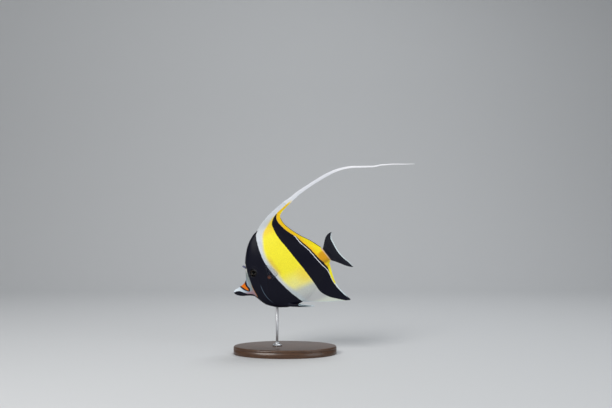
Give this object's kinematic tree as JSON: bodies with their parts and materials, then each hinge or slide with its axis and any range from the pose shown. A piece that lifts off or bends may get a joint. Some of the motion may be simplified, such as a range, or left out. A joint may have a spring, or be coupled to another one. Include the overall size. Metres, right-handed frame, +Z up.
{
  "type": "moorish idol fish model",
  "caption": "A still, life-size moorish idol, nose down, with its fins spread and its white dorsal streamer trailing, held by a rod over an oval wooden base.",
  "frame": {"origin": "centre of the stand base's underside, on the surface it stands on", "axes": "+Z up, -X the way the snout points, -Y the fish's left side, which faces the picture's camera"},
  "size_m": [0.2756, 0.094, 0.2881],
  "materials": {
    "skin_white": "satin, painted cast",
    "skin_yellow": "satin, painted cast",
    "skin_black": "satin, painted cast",
    "fin_clear": "thin, smooth",
    "eye_dark": "wet gloss",
    "horn_bone": "satin",
    "stand_wood": "stained, satin varnish",
    "stand_steel": "brushed"
  },
  "bodies": {
    "root": {"snout": "skin_white", "lower_jaw": "skin_black", "head": "skin_black", "trunk": "skin_yellow", "tail_stalk": "skin_yellow", "dorsal_fin": "skin_yellow", "streamer_front": "skin_white", "streamer_rear": "skin_white", "anal_fin": "skin_black", "tail_fin": "skin_black", "pectoral_fin_left": "fin_clear", "pectoral_fin_right": "fin_clear", "pelvic_fin_left": "skin_black", "pelvic_fin_right": "skin_black", "eye_left": "eye_dark", "eye_right": "eye_dark", "horn_left": "horn_bone", "horn_right": "horn_bone", "stand_base": "stand_wood", "stand_rod": "stand_steel", "stand_collar": "stand_steel"}
  },
  "joints": []
}
